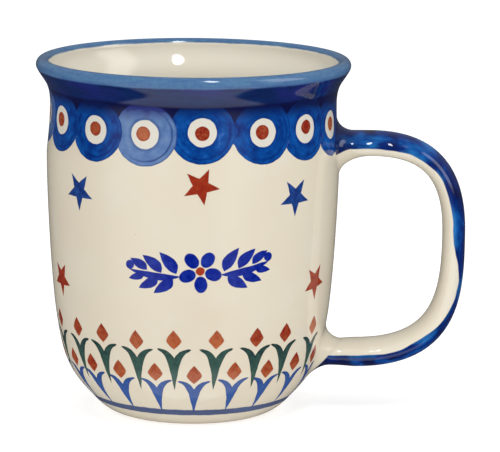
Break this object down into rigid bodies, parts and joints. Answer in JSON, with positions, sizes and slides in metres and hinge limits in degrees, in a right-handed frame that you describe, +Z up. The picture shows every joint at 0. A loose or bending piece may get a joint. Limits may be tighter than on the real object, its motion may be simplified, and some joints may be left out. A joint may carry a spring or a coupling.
{
  "type": "stoneware mug",
  "caption": "Glazed stoneware mug: turned cup with a rolled flared lip and round base, and a strap handle luted to its side.",
  "frame": {"origin": "on the surface the mug stands on, at the middle of the footprint box; the cup's own axis is 16.62 mm to -X of it", "axes": "+Z up along the cup's axis, +X from the cup towards the handle, Y across the handle"},
  "size_m": [0.1222, 0.089, 0.101],
  "materials": {
    "body_glaze": "clear gloss glaze over cream stoneware with stamped and brushed cobalt, rust and green underglaze decoration",
    "handle_glaze": "clear gloss glaze over brushed cobalt on the outer half and bare cream on the inner half",
    "upper_luting_glaze": "clear gloss glaze over brushed cobalt",
    "lower_luting_glaze": "clear gloss glaze over cream stoneware"
  },
  "bodies": {
    "root": {"body": "body_glaze", "handle": "handle_glaze", "upper_luting": "upper_luting_glaze", "lower_luting": "lower_luting_glaze"}
  },
  "joints": []
}
